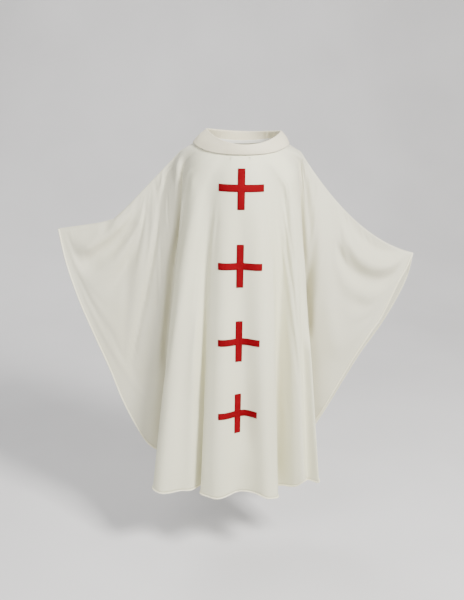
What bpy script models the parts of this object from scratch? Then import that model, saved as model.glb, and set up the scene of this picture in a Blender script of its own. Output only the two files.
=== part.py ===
"""A chasuble, the sleeveless outer vestment worn over an alb, hanging as it does on a display form.

It is an open-sided garment: a front panel and a back panel are joined only along the two shoulder
seams, from the neck to the wrist corners. A folded roll collar stands on the neck edge, four
appliqued crosses run down the front, and a corded rolled hem edges both panels.

Metres, +Z up. The wearer faces -Y. The origin is the middle of the neck opening, a little below the
tops of the shoulder seams. Left and right are the viewer's, looking along +Y.
"""

import math

import bmesh
import bpy
import numpy as np
from mathutils import Vector
from mathutils.bvhtree import BVHTree

# Driving dimensions
CLOTH = 0.0012  # thickness of the shell fabric
GAP = 0.0005  # clearance between pieces that are sewn together
SEAM_HALF_GAP = 0.0016  # from the shoulder seam's plane to each panel's inner face

NECK_HALF_WIDTH = 0.128
NECK_SIDE_RISE = 0.022
NECK_DROP = 0.020  # from the sides of the neck edge to its front and back
NECK_FRONT = 0.132
NECK_BACK = 0.104
YOKE_CROWN = 0.015  # how far the cloth between neck and chest bulges
YOKE_CROWN_SKEW = 0.48  # below 1, the bulge is nearer the neck
YOKE_SIDE_LIFT = 0.5  # share of the bulge that lifts the cloth over the shoulders

WRIST = 0.55  # where the wrist holds the left seam up, as a share of the way to its corner
LEFT_SEAM_SAG = 0.093
WRIST_BLUNT = 0.06
WRIST_WIDTH = 0.07
RIGHT_SEAM_SAG = 0.064
LEFT_SAG_SHARE = 0.085  # how far into a panel each seam's sag carries
RIGHT_SAG_SHARE = 0.075

COLLAR_SEAM_INSET = 0.004  # the collar stands just inside the neck edge
COLLAR_SEAM_RAISE = 0.003
COLLAR_ROLL = 0.0046  # radius of the collar's rolled top edge
COLLAR_ROLL_ANGLES = (0, 50, 100, 150)
COLLAR_PLY = 0.0008
COLLAR_PLY_STEP = COLLAR_PLY + GAP
COLLAR_CLEARANCE = 0.0030  # under the lower edge of the fall, over the faceted panels
COLLAR_COLUMNS = 28
COLLAR_TOP_SHIFT = 0.008  # the open top sits a little to the right
# Half width, front depth, back depth, height at the sides, front drop and back drop of the rolled
# top edge and of the lower edge of the fall.
COLLAR_TOP = (0.119, 0.131, 0.104, 0.063, 0.031, 0.018)
COLLAR_FALL = (0.158, 0.149, 0.128, 0.014, 0.012, 0.010)
COLLAR_TOP_POINT = 1.35  # above 1, the front and back meet in a soft corner
# Which way is off the cloth under the fall: outwards at the sides, and upwards at the front and sides.
FALL_OFF_SIDE = 0.4
FALL_OFF_UP = (0.1, 0.9)

TAPE_HEIGHT = 0.009
TAPE_THICKNESS = 0.0008
TAPE_INSET = 0.0062
TAPE_DROP = 0.008

PIPING_RADIUS = 0.0020
BINDING_DROP = 0.011  # height of the bound seam allowances under each shoulder seam
BINDING_START = 0.3  # the binding's ends, as shares of the seam's first and last steps
BINDING_END = 0.9

CROSS_X = 0.002
# The crosses' middles, and how far each reaches below and above it.
CROSSES = [
    (-0.106, 0.0690, 0.0620),
    (-0.365, 0.0728, 0.0728),
    (-0.631, 0.0728, 0.0728),
    (-0.900, 0.0735, 0.0735),
]
CROSS_HALF_WIDTH = 0.0735
CROSS_BAR = 0.0220
CROSS_THICKNESS = 0.0007
CROSS_CLEARANCE = 0.0018  # over the faceted panel
CROSS_ARM_CELLS = 4
BORDER_WIDTH = 0.0024
BORDER_THICKNESS = 0.0011
BORDER_LONG_STEPS = 7  # steps along an arm's long edges, and along its end
BORDER_SHORT_STEPS = 3

TACK_SIDE = 0.030  # from the middle of the collar's front
TACK_RADIUS = 0.0008
TACK_DROP = 0.010

ROWS_YOKE = 4
ROWS_HANG = 6
STEPS_PER_FOLD = 2

CHEST_CONTOUR = [
    (0.000, -0.200, 0.000, -0.010),
    (0.060, -0.207, 0.022, -0.012),
    (0.120, -0.208, 0.038, -0.018),
    (0.170, -0.202, 0.048, -0.026),
    (0.210, -0.193, 0.054, -0.034),  # the left groove starts at the shoulder
    (0.245, -0.192, 0.068, -0.044),
    (0.275, -0.184, 0.088, -0.058),
    (0.330, -0.150, 0.124, -0.094),
    (0.380, -0.108, 0.134, -0.118),
    (0.430, -0.062, 0.152, -0.134),
    (0.500, 0.000, 0.158, -0.142),
    (0.560, 0.070, 0.152, -0.134),
    (0.605, 0.132, 0.124, -0.110),
    (0.665, 0.160, 0.122, -0.090),
    (0.725, 0.188, 0.088, -0.056),
    (0.755, 0.194, 0.068, -0.042),
    (0.790, 0.195, 0.053, -0.032),  # the right groove starts at the shoulder
    (0.830, 0.204, 0.046, -0.024),
    (0.880, 0.209, 0.038, -0.018),
    (0.940, 0.207, 0.022, -0.012),
    (1.000, 0.200, 0.000, -0.010),
]
BACK_CONTOUR = [
    (0.000, -0.200, 0.000, -0.010),
    (0.120, -0.203, 0.032, -0.022),
    (0.205, -0.184, 0.026, -0.036),
    (0.250, -0.192, 0.070, -0.050),
    (0.380, -0.118, 0.112, -0.105),
    (0.500, 0.000, 0.122, -0.120),
    (0.620, 0.118, 0.112, -0.105),
    (0.750, 0.192, 0.070, -0.050),
    (0.795, 0.184, 0.026, -0.036),
    (0.880, 0.203, 0.032, -0.022),
    (1.000, 0.200, 0.000, -0.010),
]

# The hem, as the feet of the fold lines that run up to the contour:
# (share of the way round the panel, x, distance from the seam's plane, z).
FRONT_FOLDS = [
    (0.000, -0.624, 0.000, -0.284),  # left wrist corner, end of the shoulder seam
    (0.020, -0.605, 0.020, -0.390),
    (0.045, -0.563, 0.036, -0.520),
    (0.070, -0.510, 0.034, -0.650),
    (0.100, -0.452, 0.042, -0.790),
    (0.125, -0.412, 0.034, -0.905),
    (0.150, -0.364, 0.036, -1.005),
    (0.175, -0.318, 0.050, -1.075),
    (0.200, -0.262, 0.016, -1.125),  # the wing turns in behind the body
    (0.225, -0.222, 0.014, -1.155),  # bottom of the left groove
    (0.250, -0.258, 0.090, -1.172),
    (0.275, -0.300, 0.150, -1.188),  # left edge of the body
    (0.300, -0.272, 0.184, -1.194),
    (0.340, -0.185, 0.150, -1.198),
    (0.360, -0.142, 0.124, -1.198),
    (0.380, -0.108, 0.104, -1.200),  # valley left of the middle breadth
    (0.400, -0.127, 0.158, -1.204),
    (0.425, -0.083, 0.200, -1.202),
    (0.500, 0.038, 0.150, -1.195),  # shallow valley down the middle
    (0.560, 0.124, 0.198, -1.202),
    (0.585, 0.155, 0.168, -1.210),
    (0.605, 0.134, 0.100, -1.214),  # valley right of the middle breadth
    (0.635, 0.172, 0.100, -1.208),
    (0.668, 0.222, 0.140, -1.184),
    (0.690, 0.250, 0.146, -1.160),
    (0.708, 0.262, 0.122, -1.166),
    (0.735, 0.303, 0.152, -1.158),  # right edge of the body
    (0.760, 0.282, 0.086, -1.140),
    (0.785, 0.232, 0.014, -1.100),  # bottom of the right groove
    (0.810, 0.268, 0.014, -1.020),
    (0.835, 0.316, 0.036, -0.920),
    (0.870, 0.392, 0.036, -0.764),
    (0.910, 0.460, 0.038, -0.640),
    (0.940, 0.505, 0.036, -0.566),
    (0.965, 0.551, 0.030, -0.464),
    (0.985, 0.586, 0.018, -0.398),
    (1.000, 0.603, 0.000, -0.352),  # right wrist corner
]
BACK_FOLDS = [
    (0.000, -0.624, 0.000, -0.284),
    (0.030, -0.596, 0.022, -0.420),
    (0.070, -0.522, 0.032, -0.600),
    (0.120, -0.442, 0.024, -0.830),
    (0.165, -0.352, 0.032, -1.020),
    (0.205, -0.262, 0.022, -1.120),  # left groove
    (0.245, -0.266, 0.086, -1.170),
    (0.285, -0.286, 0.138, -1.190),  # left edge of the back's body
    (0.345, -0.196, 0.126, -1.203),
    (0.410, -0.118, 0.164, -1.210),
    (0.500, 0.000, 0.138, -1.214),
    (0.590, 0.118, 0.164, -1.210),
    (0.655, 0.196, 0.126, -1.203),
    (0.715, 0.286, 0.138, -1.190),
    (0.755, 0.266, 0.086, -1.160),
    (0.795, 0.262, 0.022, -1.080),  # right groove
    (0.840, 0.340, 0.030, -0.930),
    (0.890, 0.439, 0.026, -0.740),
    (0.935, 0.534, 0.034, -0.585),
    (0.970, 0.592, 0.024, -0.450),
    (1.000, 0.603, 0.000, -0.352),
]

IVORY = (0.80, 0.78, 0.69, 1.0)
WHITE_TAPE = (0.82, 0.80, 0.74, 1.0)
CORD_CREAM = (0.87, 0.84, 0.74, 1.0)
RED = (0.62, 0.02, 0.03, 1.0)
DARK_RED = (0.48, 0.01, 0.02, 1.0)


def clear_scene():
    for obj in list(bpy.data.objects):
        bpy.data.objects.remove(obj, do_unlink=True)


def material(name, colour, roughness):
    made = bpy.data.materials.new(name)
    made.use_nodes = True
    shader = made.node_tree.nodes["Principled BSDF"]
    shader.inputs["Base Color"].default_value = colour
    shader.inputs["Roughness"].default_value = roughness
    shader.inputs["Metallic"].default_value = 0.0
    return made


def mesh_object(name, points, faces, finish):
    mesh = bpy.data.meshes.new(name)
    mesh.from_pydata([tuple(p) for p in points], [], faces)
    mesh.validate()
    obj = bpy.data.objects.new(name, mesh)
    obj.data.materials.append(finish)
    bpy.context.scene.collection.objects.link(obj)
    mesh.shade_smooth()
    return obj


def through(rows, at):
    """Rows (parameter, values...) read on a smooth curve at the parameters in at."""
    table = np.array(rows, float)
    known, values = table[:, 0], table[:, 1:]
    slopes = np.gradient(values, known, axis=0)
    i = np.clip(np.searchsorted(known, at, side="right") - 1, 0, len(known) - 2)
    span = (known[i + 1] - known[i])[:, None]
    t = ((at - known[i]) / (known[i + 1] - known[i]))[:, None]
    return (
        (2 * t**3 - 3 * t**2 + 1) * values[i]
        + (t**3 - 2 * t**2 + t) * span * slopes[i]
        + (3 * t**2 - 2 * t**3) * values[i + 1]
        + (t**3 - t**2) * span * slopes[i + 1]
    )


def smooth_step(t):
    t = np.clip(t, 0.0, 1.0)
    return t * t * (3 - 2 * t)


def left_seam_sag(t):
    """The left seam runs straight to where the wrist holds it up, then kinks out to the corner."""
    rise = np.where(t < WRIST, t / WRIST, (1 - t) / (1 - WRIST))
    return LEFT_SEAM_SAG * (rise - WRIST_BLUNT * np.exp(-(((t - WRIST) / WRIST_WIDTH) ** 2)))


def right_seam_sag(t):
    """The right seam hangs in one even curve."""
    return RIGHT_SEAM_SAG * 4 * t * (1 - t)


def drape(folds, contour, neck_depth, side):
    """A panel's points as an array (fold lines, rows, 3); side is -1 in front and 1 behind.

    Each fold line runs from the neck edge over the shoulder or chest and down to the hem.
    """
    shares = np.concatenate(
        [
            np.linspace(a[0], b[0], STEPS_PER_FOLD, endpoint=False)
            for a, b in zip(folds, folds[1:])
        ]
        + [[1.0]]
    )
    feet = through(folds, shares)
    bends = through(contour, shares)
    lines = []
    for share, foot, bend in zip(shares, feet, bends):
        across, along = math.sin(math.pi * share), math.cos(math.pi * share)
        neck = np.array(
            [
                -NECK_HALF_WIDTH * along,
                neck_depth * across,
                NECK_SIDE_RISE - NECK_DROP * across**2,
            ]
        )
        t = np.linspace(0, 1, ROWS_YOKE, endpoint=False)[:, None]
        yoke = neck * (1 - t) + bend * t
        bulge = YOKE_CROWN * np.sin(math.pi * t[:, 0] ** YOKE_CROWN_SKEW)
        yoke[:, 1] += bulge * across
        yoke[:, 2] += YOKE_SIDE_LIFT * bulge * along**2
        t = np.linspace(0, 1, ROWS_HANG + 1)[:, None]
        hang = bend * (1 - t) + foot * t
        near_left = float(smooth_step(1 - share / LEFT_SAG_SHARE))
        near_right = float(smooth_step(1 - (1 - share) / RIGHT_SAG_SHARE))
        hang[:, 2] -= near_left * left_seam_sag(t[:, 0]) + near_right * right_seam_sag(t[:, 0])
        lines.append(np.concatenate([yoke, hang]))
    grid = np.array(lines)
    grid[:, :, 1] = side * (np.maximum(grid[:, :, 1], 0.0) + SEAM_HALF_GAP)
    return grid


def panel(name, grid, side, finish):
    columns, rows = grid.shape[:2]
    faces = []
    for c in range(columns - 1):
        for r in range(rows - 1):
            a = c * rows + r
            quad = (a, a + 1, a + rows + 1, a + rows)
            faces.append(quad if side < 0 else quad[::-1])
    obj = mesh_object(name, grid.reshape(-1, 3), faces, finish)
    thicken = obj.modifiers.new("cloth", "SOLIDIFY")
    thicken.thickness = CLOTH
    thicken.offset = 1.0
    thicken.use_rim = True
    thicken.use_even_offset = False
    return obj


def piping(name, grid, side, finish):
    """The corded rolled edge that runs along a panel's hem, from one wrist corner to the other."""
    reach = PIPING_RADIUS + 3 * GAP
    feet = [Vector(line[-1]) for line in grid]
    points = []
    for i, line in enumerate(grid):
        foot, down = feet[i], Vector(line[-1] - line[-2]).normalized()
        along = (feet[min(i + 1, len(feet) - 1)] - feet[max(i - 1, 0)]).normalized()
        out = (down - along * down.dot(along)).normalized()
        points.append(foot + out * reach + Vector((0, side * CLOTH / 2, 0)))
    for i in (0, -1):
        points[i].y += side * (PIPING_RADIUS + GAP)
    curve = bpy.data.curves.new(name, "CURVE")
    curve.dimensions = "3D"
    curve.bevel_depth = PIPING_RADIUS
    curve.bevel_resolution = 1
    curve.use_fill_caps = True
    spline = curve.splines.new("POLY")
    spline.points.add(len(points) - 1)
    for knot, point in zip(spline.points, points):
        knot.co = (*point, 1.0)
    obj = bpy.data.objects.new(name, curve)
    obj.data.materials.append(finish)
    bpy.context.scene.collection.objects.link(obj)
    return obj


def seam_binding(name, line, finish):
    """The bound seam allowances, a fin that hangs inside under one shoulder seam."""
    upper = [Vector((x, 0.0, z)) for x, _, z in line]
    upper[0] = upper[0].lerp(upper[1], BINDING_START)
    upper[-1] = upper[-2].lerp(upper[-1], BINDING_END)
    points, faces = [], []
    half = CLOTH / 2
    for p in upper:
        for y, drop in ((-half, GAP), (half, GAP), (half, BINDING_DROP), (-half, BINDING_DROP)):
            points.append(Vector((p.x, y, p.z - drop)))
    for i in range(len(upper) - 1):
        a, b = 4 * i, 4 * i + 4
        for k in range(4):
            n = (k + 1) % 4
            faces.append((a + k, a + n, b + n, b + k))
    last = 4 * len(upper) - 4
    faces.append((3, 2, 1, 0))
    faces.append((last, last + 1, last + 2, last + 3))
    obj = mesh_object(name, points, faces, finish)
    face_outwards(obj)
    return obj


def face_outwards(obj):
    made = bmesh.new()
    made.from_mesh(obj.data)
    bmesh.ops.recalc_face_normals(made, faces=made.faces)
    made.to_mesh(obj.data)
    made.free()


def ring_point(turn, half_width, front, back, side_height, front_drop, back_drop, point=1.0):
    """A point on a closed neckline curve; turn is in radians from the left side.

    Where point is above 1, the front and back meet at the sides in a soft corner.
    """
    c, s = math.cos(turn), math.sin(turn)
    depth, drop = (front, front_drop) if s > 0 else (back, back_drop)
    reach = math.copysign(abs(s) ** point, s)
    return Vector((-half_width * c, -depth * reach, side_height - drop * abs(s) ** (3 - point)))


def fall_tip(turn, ply, cloth):
    """Where a ply of the fall ends, just clear of the cloth that it lies on."""
    place, _, _, _ = cloth.find_nearest(ring_point(turn, *COLLAR_FALL))
    c, s = math.cos(turn), math.sin(turn)
    up, more_at_side = FALL_OFF_UP
    off = Vector((-FALL_OFF_SIDE * c, -s, up + more_at_side * c * c)).normalized()
    return place + off * (COLLAR_CLEARANCE + (3 - ply) * COLLAR_PLY_STEP)


def collar_profile(turn, ply, cloth):
    """The collar's section at one turn: up from the neck seam, over the roll, down the fall."""
    seam = ring_point(
        turn, NECK_HALF_WIDTH - COLLAR_SEAM_INSET, NECK_FRONT - COLLAR_SEAM_INSET,
        NECK_BACK - COLLAR_SEAM_INSET, NECK_SIDE_RISE + COLLAR_SEAM_RAISE, NECK_DROP, NECK_DROP,
    )
    top = ring_point(turn, *COLLAR_TOP, COLLAR_TOP_POINT)
    top.x += COLLAR_TOP_SHIFT
    edge = ring_point(turn, *COLLAR_FALL)
    outward = Vector((edge.x - top.x, edge.y - top.y, 0)).normalized()
    inset = ply * COLLAR_PLY_STEP
    radius = COLLAR_ROLL - inset
    middle = top + outward * COLLAR_ROLL - Vector((0, 0, COLLAR_ROLL))
    arc = []
    for degrees in COLLAR_ROLL_ANGLES:
        a = math.radians(degrees)
        arc.append(middle - outward * radius * math.cos(a) + Vector((0, 0, radius * math.sin(a))))
    foot = seam + outward * inset
    tip = fall_tip(turn, ply, cloth)
    return [foot, foot.lerp(arc[0], 0.5), *arc, arc[-1].lerp(tip, 0.5), tip]


def collar_ply(name, ply, cloth, finish):
    """One ply of the collar: a ring whose section is a hook, closed all round."""
    sections = [
        collar_profile(2 * math.pi * i / COLLAR_COLUMNS, ply, cloth)
        for i in range(COLLAR_COLUMNS)
    ]
    rows = len(sections[0])
    points = [p for section in sections for p in section]
    faces = []
    for i in range(COLLAR_COLUMNS):
        a, b = i * rows, (i + 1) % COLLAR_COLUMNS * rows
        for r in range(rows - 1):
            faces.append((a + r, a + r + 1, b + r + 1, b + r))
    obj = mesh_object(name, points, faces, finish)
    thicken = obj.modifiers.new("ply", "SOLIDIFY")
    thicken.thickness = COLLAR_PLY
    thicken.offset = 1.0
    thicken.use_even_offset = False
    return obj


def neck_tape(finish):
    """The tape that covers the neck seam inside the collar, a ring of flat section."""
    low = NECK_SIDE_RISE + COLLAR_SEAM_RAISE - TAPE_DROP
    points, faces = [], []
    for i in range(COLLAR_COLUMNS):
        turn = 2 * math.pi * i / COLLAR_COLUMNS
        for shrink in (TAPE_INSET, TAPE_INSET + TAPE_THICKNESS):
            for height in (low, low + TAPE_HEIGHT):
                points.append(
                    ring_point(
                        turn, NECK_HALF_WIDTH - shrink, NECK_FRONT - shrink, NECK_BACK - shrink,
                        height, NECK_DROP, NECK_DROP,
                    )
                )
    for i in range(COLLAR_COLUMNS):
        a, b = 4 * i, (i + 1) % COLLAR_COLUMNS * 4
        for k, n in ((0, 1), (1, 3), (3, 2), (2, 0)):
            faces.append((a + k, a + n, b + n, b + k))
    obj = mesh_object("neck_seam_tape", points, faces, finish)
    face_outwards(obj)
    return obj


def cross_outline(size, grow):
    """The twelve corners of a plain cross, anticlockwise, grown by this much on every side."""
    half_width, below, above = (reach + grow for reach in size)
    b = CROSS_BAR / 2 + grow
    return [
        (-b, -below), (b, -below), (b, -b), (half_width, -b), (half_width, b), (b, b),
        (b, above), (-b, above), (-b, b), (-half_width, b), (-half_width, -b), (-b, -b),
    ]


def surface_of(*panels):
    """A search tree over the outer and inner faces of these panels."""
    graph = bpy.context.evaluated_depsgraph_get()
    points, faces = [], []
    for obj in panels:
        mesh = obj.evaluated_get(graph).data
        first = len(points)
        points += [v.co.copy() for v in mesh.vertices]
        faces += [[first + i for i in p.vertices] for p in mesh.polygons]
    return BVHTree.FromPolygons(points, faces)


def on_panel(surface, x, z, lift):
    """The point this far in front of the front panel, at x and z."""
    hit, normal, _, _ = surface.ray_cast(Vector((x, -1.0, z)), Vector((0, 1, 0)))
    if normal.y > 0:
        normal.negate()
    return hit + normal * lift


def cross_cells(below, above):
    """Places along a cross from one end to the other, close enough to follow the cloth."""
    half, parts = CROSS_BAR / 2, CROSS_ARM_CELLS
    low = [-half - (below - half) * i / parts for i in range(parts, 0, -1)]
    high = [half + (above - half) * i / parts for i in range(1, parts + 1)]
    return [*low, -half, 0.0, half, *high]


def cross_piece(name, surface, centre, size, finish):
    """A flat cross of cloth that follows the front panel."""
    half_width, below, above = size
    across, upward = cross_cells(half_width, half_width), cross_cells(below, above)
    half = CROSS_BAR / 2
    index, points, faces = {}, [], []

    def corner(i, j, layer):
        key = (i, j, layer)
        if key not in index:
            lift = CROSS_CLEARANCE + layer * CROSS_THICKNESS
            index[key] = len(points)
            points.append(on_panel(surface, centre[0] + across[i], centre[1] + upward[j], lift))
        return index[key]

    inside = {
        (i, j)
        for i in range(len(across) - 1)
        for j in range(len(upward) - 1)
        if abs(across[i] + across[i + 1]) / 2 < half or abs(upward[j] + upward[j + 1]) / 2 < half
    }
    for i, j in inside:
        ring = [(i, j), (i + 1, j), (i + 1, j + 1), (i, j + 1)]
        faces.append(tuple(corner(a, b, 1) for a, b in ring))
        faces.append(tuple(corner(a, b, 0) for a, b in reversed(ring)))
        for k, (di, dj) in enumerate(((0, -1), (1, 0), (0, 1), (-1, 0))):
            if (i + di, j + dj) not in inside:
                (a, b), (c, d) = ring[k], ring[(k + 1) % 4]
                faces.append((corner(a, b, 0), corner(c, d, 0), corner(c, d, 1), corner(a, b, 1)))
    obj = mesh_object(name, points, faces, finish)
    face_outwards(obj)
    return obj


def cross_border(name, surface, centre, size, finish):
    """The satin stitching round a cross, a closed raised band just outside its edge."""
    inner = cross_outline(size, GAP)
    outer = cross_outline(size, GAP + BORDER_WIDTH)
    pairs = []
    for i in range(len(inner)):
        n = (i + 1) % len(inner)
        long_side = math.dist(inner[i], inner[n]) > 1.5 * CROSS_BAR
        parts = BORDER_LONG_STEPS if long_side else BORDER_SHORT_STEPS
        for k in range(parts):
            t = k / parts
            pairs.append(
                tuple(
                    tuple(p + (q - p) * t for p, q in zip(line[i], line[n]))
                    for line in (inner, outer)
                )
            )
    points, faces = [], []
    for near, far in pairs:
        for place in (near, far):
            for lift in (CROSS_CLEARANCE, CROSS_CLEARANCE + BORDER_THICKNESS):
                points.append(on_panel(surface, centre[0] + place[0], centre[1] + place[1], lift))
    for i in range(len(pairs)):
        a, b = 4 * i, (i + 1) % len(pairs) * 4
        for k, n in ((0, 1), (1, 3), (3, 2), (2, 0)):
            faces.append((a + k, a + n, b + n, b + k))
    obj = mesh_object(name, points, faces, finish)
    face_outwards(obj)
    return obj


def crosses(surface, cloth, thread):
    for number, (height, below, above) in enumerate(CROSSES, 1):
        size = (CROSS_HALF_WIDTH, below, above)
        cross_piece(f"cross_{number}", surface, (CROSS_X, height), size, cloth)
        cross_border(f"cross_{number}_stitching", surface, (CROSS_X, height), size, thread)


def collar_tack(name, surface, x, finish):
    """A short thread bar that ties the collar's lower edge down to the front panel."""
    turn = math.acos(-x / COLLAR_FALL[0])
    start = fall_tip(turn, 3, surface) - Vector((0, 0, 2 * TACK_RADIUS))
    end = on_panel(surface, x, start.z - TACK_DROP, GAP + TACK_RADIUS)
    made = bmesh.new()
    bmesh.ops.create_cone(
        made, cap_ends=True, segments=8, radius1=TACK_RADIUS, radius2=TACK_RADIUS,
        depth=(end - start).length,
    )
    mesh = bpy.data.meshes.new(name)
    made.to_mesh(mesh)
    made.free()
    obj = bpy.data.objects.new(name, mesh)
    obj.location = (start + end) / 2
    obj.rotation_mode = "QUATERNION"
    obj.rotation_quaternion = (end - start).to_track_quat("Z", "Y")
    obj.data.materials.append(finish)
    bpy.context.scene.collection.objects.link(obj)


def main():
    clear_scene()
    ivory = material("ivory_cloth", IVORY, 0.85)
    tape = material("white_tape", WHITE_TAPE, 0.8)
    cord = material("cream_cord", CORD_CREAM, 0.6)
    red = material("red_cloth", RED, 0.75)
    red_thread = material("red_thread", DARK_RED, 0.55)
    front_grid = drape(FRONT_FOLDS, CHEST_CONTOUR, NECK_FRONT, -1)
    back_grid = drape(BACK_FOLDS, BACK_CONTOUR, NECK_BACK, 1)
    front = panel("front_panel", front_grid, -1, ivory)
    back = panel("back_panel", back_grid, 1, ivory)
    piping("front_hem_cord", front_grid, -1, cord)
    piping("back_hem_cord", back_grid, 1, cord)
    seam_binding("left_shoulder_seam_binding", front_grid[0], tape)
    seam_binding("right_shoulder_seam_binding", front_grid[-1], tape)
    bpy.context.view_layer.update()
    front_surface = surface_of(front)
    both = surface_of(front, back)
    for ply, name in enumerate(("collar_shell", "collar_interlining", "collar_lining")):
        collar_ply(name, ply, both, tape if ply == 1 else ivory)
    neck_tape(tape)
    crosses(front_surface, red, red_thread)
    collar_tack("collar_tack_left", front_surface, -TACK_SIDE, tape)
    collar_tack("collar_tack_right", front_surface, TACK_SIDE, tape)


main()
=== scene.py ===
import math

import bmesh
import bpy
import numpy as np
from mathutils import Matrix, Vector
from mathutils.bvhtree import BVHTree
from mathutils.noise import noise as soft_noise


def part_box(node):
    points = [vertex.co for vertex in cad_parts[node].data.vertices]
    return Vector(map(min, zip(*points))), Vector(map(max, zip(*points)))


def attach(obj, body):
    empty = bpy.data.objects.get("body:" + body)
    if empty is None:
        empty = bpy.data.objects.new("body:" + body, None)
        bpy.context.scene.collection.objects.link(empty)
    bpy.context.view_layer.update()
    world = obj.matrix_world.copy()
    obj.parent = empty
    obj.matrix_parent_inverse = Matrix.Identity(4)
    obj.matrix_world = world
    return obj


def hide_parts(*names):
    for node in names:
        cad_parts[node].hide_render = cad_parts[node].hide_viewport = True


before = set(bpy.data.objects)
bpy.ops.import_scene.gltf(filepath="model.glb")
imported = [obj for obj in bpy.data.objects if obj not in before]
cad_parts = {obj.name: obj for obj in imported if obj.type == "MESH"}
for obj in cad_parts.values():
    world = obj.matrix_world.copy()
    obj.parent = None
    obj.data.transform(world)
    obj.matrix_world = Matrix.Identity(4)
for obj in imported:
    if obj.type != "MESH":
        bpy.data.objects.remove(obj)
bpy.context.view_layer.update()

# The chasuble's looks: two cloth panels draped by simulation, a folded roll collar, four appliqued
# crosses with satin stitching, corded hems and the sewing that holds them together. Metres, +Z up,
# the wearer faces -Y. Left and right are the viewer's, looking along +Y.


# ------------------------------------------------------------------------------ driving values

SEAM_HALF_GAP = 0.0007  # from the shoulder seam's plane to each panel's middle
CLOTH = 0.0009
CROSS_BAR = 0.0220
CROSS_HALF_WIDTH = 0.0735
CROSS_X = 0.002
# The crosses' middles, and how far each reaches below and above it.
CROSSES = [
    (-0.106, 0.0690, 0.0620),
    (-0.365, 0.0728, 0.0728),
    (-0.631, 0.0728, 0.0728),
    (-0.900, 0.0735, 0.0735),
]
HEM_CORD = {"radius": 0.0027, "pitch": 0.009, "depth": 0.12, "sides": 10}
TACK_THREAD = {"radius": 0.0008, "pitch": 0.003, "depth": 0.1, "sides": 8}
NECK_HALF_WIDTH = 0.128
NECK_SIDE_RISE = 0.022
NECK_DROP = 0.020  # from the sides of the neck edge to its front and back
FRONT_NECK_DEPTH = 0.132
BACK_NECK_DEPTH = 0.104
YOKE_CROWN = 0.015  # how far the cloth between neck and chest bulges
YOKE_CROWN_SKEW = 0.48  # below 1, the bulge is nearer the neck
YOKE_SIDE_LIFT = 0.5  # share of the bulge that lifts the cloth over the shoulders

WRIST = 0.55  # where the wrist holds the left seam up, as a share of the way to its corner
LEFT_SEAM_SAG = 0.093
WRIST_BLUNT = 0.06
WRIST_WIDTH = 0.07
RIGHT_SEAM_SAG = 0.064
LEFT_SAG_SHARE = 0.085  # how far into a panel each seam's sag carries
RIGHT_SAG_SHARE = 0.075

COLUMNS_PER_FOLD = 6
ROWS_YOKE = 8
ROWS_HANG = 96
SIM_FRAMES = 20
HOLD_YOKE = 0.5
HOLD_HANG = 0.2
SPARE_CLOTH = 0.008
SMOOTHING_ROUNDS = 6
SMOOTHING_SHARE = 0.15  # away from the shoulders and the chest
CHEST_HALF_WIDTH = 0.12  # the smooth part of the chest, where the first cross lies
CHEST_EDGE = 0.04  # over this width, the smoothing beside it falls away
CREASE_SAMPLES = 60
CREASE_START = 0.06  # lengths over which a pressed fold comes up to its full depth, and dies away
CREASE_END = 0.10
SWELL = 0.35  # a lifted fold rises over this share of its length
BACK_CREASE_SHARE = 0.6  # the back's wings fold as the front's do, but less deeply

# Where the cloth leaves the shoulders, and the chest or the back, and starts to hang:
# (share of the way round the panel, x, distance from the seam's plane, z).
CHEST_CONTOUR = [
    (0.000, -0.200, 0.000, -0.010),
    (0.060, -0.207, 0.022, -0.012),
    (0.120, -0.208, 0.038, -0.018),
    (0.170, -0.202, 0.048, -0.026),
    (0.210, -0.193, 0.054, -0.034),  # the left groove starts at the shoulder
    (0.245, -0.192, 0.068, -0.044),
    (0.275, -0.184, 0.088, -0.058),
    (0.330, -0.150, 0.124, -0.094),
    (0.380, -0.108, 0.134, -0.118),
    (0.430, -0.062, 0.152, -0.134),
    (0.500, 0.000, 0.158, -0.142),
    (0.560, 0.070, 0.152, -0.134),
    (0.605, 0.132, 0.124, -0.110),
    (0.665, 0.160, 0.122, -0.090),
    (0.725, 0.188, 0.088, -0.056),
    (0.755, 0.194, 0.068, -0.042),
    (0.790, 0.195, 0.053, -0.032),  # the right groove starts at the shoulder
    (0.830, 0.204, 0.046, -0.024),
    (0.880, 0.209, 0.038, -0.018),
    (0.940, 0.207, 0.022, -0.012),
    (1.000, 0.200, 0.000, -0.010),
]
BACK_CONTOUR = [
    (0.000, -0.200, 0.000, -0.010),
    (0.120, -0.203, 0.032, -0.022),
    (0.205, -0.184, 0.026, -0.036),
    (0.250, -0.192, 0.070, -0.050),
    (0.380, -0.118, 0.112, -0.105),
    (0.500, 0.000, 0.122, -0.120),
    (0.620, 0.118, 0.112, -0.105),
    (0.750, 0.192, 0.070, -0.050),
    (0.795, 0.184, 0.026, -0.036),
    (0.880, 0.203, 0.032, -0.022),
    (1.000, 0.200, 0.000, -0.010),
]

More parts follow.
